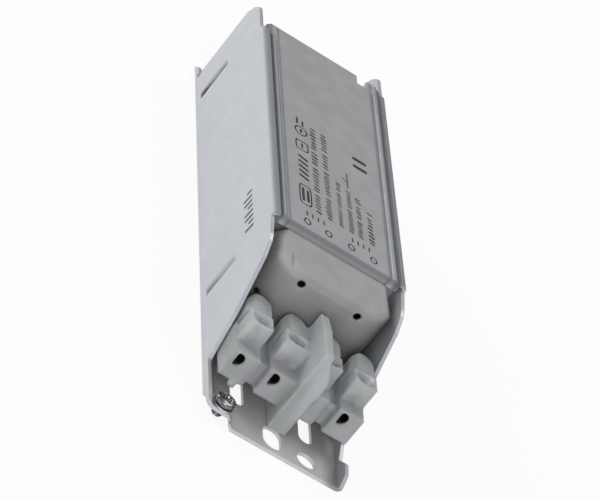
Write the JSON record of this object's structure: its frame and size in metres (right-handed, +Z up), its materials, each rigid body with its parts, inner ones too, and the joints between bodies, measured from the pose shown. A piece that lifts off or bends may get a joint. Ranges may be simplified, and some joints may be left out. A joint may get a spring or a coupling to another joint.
{
  "type": "encased magnetic ballast transformer",
  "caption": "Long iron-cored lamp transformer in a folded steel channel with a crimped cover, screw terminals at one end and slotted fixing holes",
  "frame": {"origin": "middle of the footprint, on the face that the base rests on", "axes": "+X across the width, +Y along the length away from the terminals, +Z up from the base"},
  "size_m": [0.0414, 0.176, 0.034],
  "materials": {
    "channel_steel": "satin",
    "cover_steel": "satin",
    "core_iron": "matte",
    "bobbin_plastic": "matte",
    "winding_wire": "satin",
    "winding_tape": "satin",
    "cap_plastic": "matte",
    "block_nylon": "satin",
    "insert_brass": "satin",
    "clamp_steel": "satin",
    "lead_wire": "satin",
    "earth_screw_plate": "polished",
    "earth_washer_plate": "satin"
  },
  "bodies": {
    "root": {"base_channel": "channel_steel", "top_cover": "cover_steel", "core_e_stack": "core_iron", "core_i_stack": "core_iron", "bobbin": "bobbin_plastic", "primary_winding": "winding_wire", "secondary_winding": "winding_wire", "primary_tape": "winding_tape", "secondary_tape": "winding_tape", "coil_end_cover_near": "cap_plastic", "coil_end_cover_far": "cap_plastic", "terminal_block": "block_nylon", "terminal_insert_1": "insert_brass", "terminal_insert_2": "insert_brass", "terminal_insert_3": "insert_brass", "terminal_insert_4": "insert_brass", "clamp_screw_1": "clamp_steel", "clamp_screw_2": "clamp_steel", "clamp_screw_3": "clamp_steel", "clamp_screw_4": "clamp_steel", "primary_lead_1": "lead_wire", "primary_lead_2": "lead_wire", "secondary_lead_1": "lead_wire", "secondary_lead_2": "lead_wire", "earth_screw": "earth_screw_plate", "earth_washer": "earth_washer_plate"}
  },
  "joints": []
}
